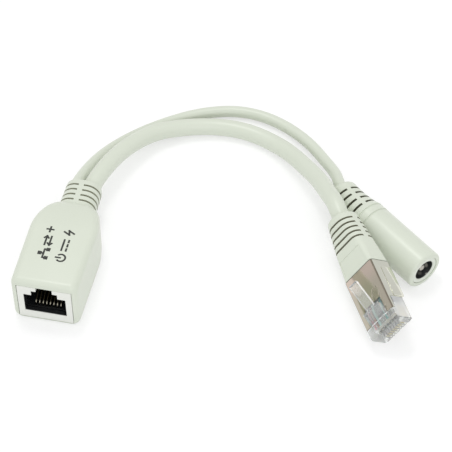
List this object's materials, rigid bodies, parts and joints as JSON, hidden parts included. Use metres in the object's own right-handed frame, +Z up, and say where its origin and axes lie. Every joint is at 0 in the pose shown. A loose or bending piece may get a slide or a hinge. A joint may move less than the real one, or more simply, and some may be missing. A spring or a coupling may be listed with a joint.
{
  "type": "power over ethernet injector",
  "caption": "Short lead with a moulded network socket at one end, which splits into a data cable with a shielded network plug and a power cable with a round DC socket.",
  "frame": {"origin": "under the middle of the socket end, on the surface that the lead lies on", "axes": "+Y along the socket end from its port towards the strain relief, +Z up through its printed side, +X towards the plug and the DC socket"},
  "size_m": [0.1139, 0.0915, 0.016],
  "materials": {
    "soft_pvc": "satin, slightly soft light grey-green PVC",
    "white_frame": "smooth off-white",
    "black_plastic": "matte black moulding",
    "clear_plastic": "clear, polished",
    "gold_plate": "gold plated",
    "nickel_plate": "bright nickel plated",
    "board": "solder mask",
    "wire_white_teal": "satin",
    "wire_teal": "satin",
    "wire_pink": "satin",
    "wire_rust": "satin",
    "wire_red": "satin",
    "wire_black": "satin"
  },
  "bodies": {
    "root": {"socket_housing": "soft_pvc", "jack_bezel": "white_frame", "jack_body": "black_plastic", "jack_contact_1": "gold_plate", "jack_contact_2": "gold_plate", "jack_contact_3": "gold_plate", "jack_contact_4": "gold_plate", "jack_contact_5": "gold_plate", "jack_contact_6": "gold_plate", "jack_contact_7": "gold_plate", "jack_contact_8": "gold_plate", "jack_board": "board", "data_wire_1": "wire_pink", "data_wire_2": "wire_rust", "data_wire_3": "wire_white_teal", "data_wire_4": "wire_teal", "power_wire_1": "wire_red", "power_wire_2": "wire_black", "data_cable": "soft_pvc", "power_cable": "soft_pvc", "plug_boot": "soft_pvc", "plug_shield": "nickel_plate", "plug_body": "clear_plastic", "plug_contact_1": "gold_plate", "plug_contact_2": "gold_plate", "plug_contact_3": "gold_plate", "plug_contact_4": "gold_plate", "plug_contact_5": "gold_plate", "plug_contact_6": "gold_plate", "plug_contact_7": "gold_plate", "plug_contact_8": "gold_plate", "plug_wire_1": "wire_pink", "plug_wire_2": "wire_rust", "plug_wire_3": "wire_white_teal", "plug_wire_4": "wire_teal", "dc_housing": "soft_pvc", "dc_insert": "white_frame", "dc_pin": "nickel_plate", "dc_spring": "nickel_plate", "dc_wire_1": "wire_red", "dc_wire_2": "wire_black"}
  },
  "joints": []
}
